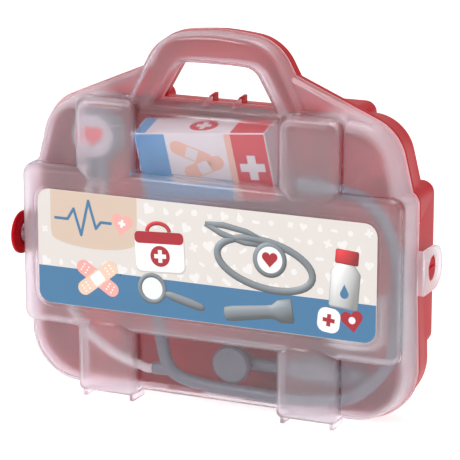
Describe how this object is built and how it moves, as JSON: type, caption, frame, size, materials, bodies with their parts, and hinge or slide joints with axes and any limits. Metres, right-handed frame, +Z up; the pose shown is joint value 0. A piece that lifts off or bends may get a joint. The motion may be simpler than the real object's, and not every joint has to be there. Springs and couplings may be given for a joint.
{
  "type": "toy doctor case",
  "caption": "Upright toy doctor case of a frosted lid and a red back hinged at the bottom, with carry handle, side hasps, printed card and toy instruments inside.",
  "frame": {"origin": "on the floor under the middle of the closed case; the plane where the two halves meet is at y = -5.25 mm", "axes": "+X to the right seen from the front, +Y from the lid towards the back half, +Z up"},
  "size_m": [0.313, 0.0804, 0.2756],
  "materials": {
    "red_plastic": "satin, lightly textured polypropylene",
    "frosted_plastic": "frosted, see-through, satin",
    "printed_card": "printed card, satin",
    "printed_board": "printed carton board",
    "grey_plastic": "satin",
    "white_plastic": "satin",
    "toy_red": "glossy",
    "soft_tube": "soft clear tube",
    "pink_clear": "clear tinted"
  },
  "bodies": {
    "case_back": {"back_shell": "red_plastic", "back_hinge_eyes": "red_plastic", "hinge_pins": "red_plastic", "back_catch": "red_plastic", "carton": "printed_board", "headset": "grey_plastic", "headset_sockets": "grey_plastic", "ear_tip_low": "grey_plastic", "ear_tip_high": "grey_plastic", "soft_tube_low": "soft_tube", "soft_tube_high": "soft_tube", "chest_body": "grey_plastic", "chest_face": "white_plastic", "chest_heart": "toy_red", "thermometer": "grey_plastic", "thermometer_panel": "white_plastic", "syringe_barrel": "pink_clear", "syringe_nozzle": "toy_red", "hammer_handle": "grey_plastic", "hammer_head": "grey_plastic", "ear_scope_handle": "grey_plastic", "ear_scope_head": "grey_plastic", "pill_jar": "white_plastic"},
    "case_lid": {"lid_shell": "frosted_plastic", "lid_hinge_eyes": "frosted_plastic", "lid_catch": "frosted_plastic", "label_card": "printed_card"},
    "right_hasp": {"lid_hasp": "frosted_plastic"},
    "left_hasp": {"back_hasp": "red_plastic"},
    "plunger": {"syringe_plunger": "toy_red"},
    "jar_lid": {"pill_jar_lid": "toy_red"}
  },
  "joints": [
    {"name": "lid_hinge", "type": "hinge", "parent": "case_back", "child": "case_lid", "pos_m": [0, -0.00525, 0.0021], "axis": [1, 0, 0], "range_deg": [0, 180]},
    {"name": "right_hasp_flex", "type": "hinge", "parent": "case_lid", "child": "right_hasp", "pos_m": [0.1518, -0.00875, 0.115], "axis": [0, 0, -1], "range_deg": [0, 25], "stiffness_Nm_per_rad": 0.02},
    {"name": "left_hasp_flex", "type": "hinge", "parent": "case_back", "child": "left_hasp", "pos_m": [-0.1518, -0.00175, 0.115], "axis": [0, 0, -1], "range_deg": [0, 25], "stiffness_Nm_per_rad": 0.02},
    {"name": "plunger_slide", "type": "slide", "parent": "case_back", "child": "plunger", "axis": [-1, 0, 0], "range_m": [0, 0.022]},
    {"name": "jar_lid_lift", "type": "slide", "parent": "case_back", "child": "jar_lid", "axis": [0, 0, 1], "range_m": [0, 0.012]}
  ]
}
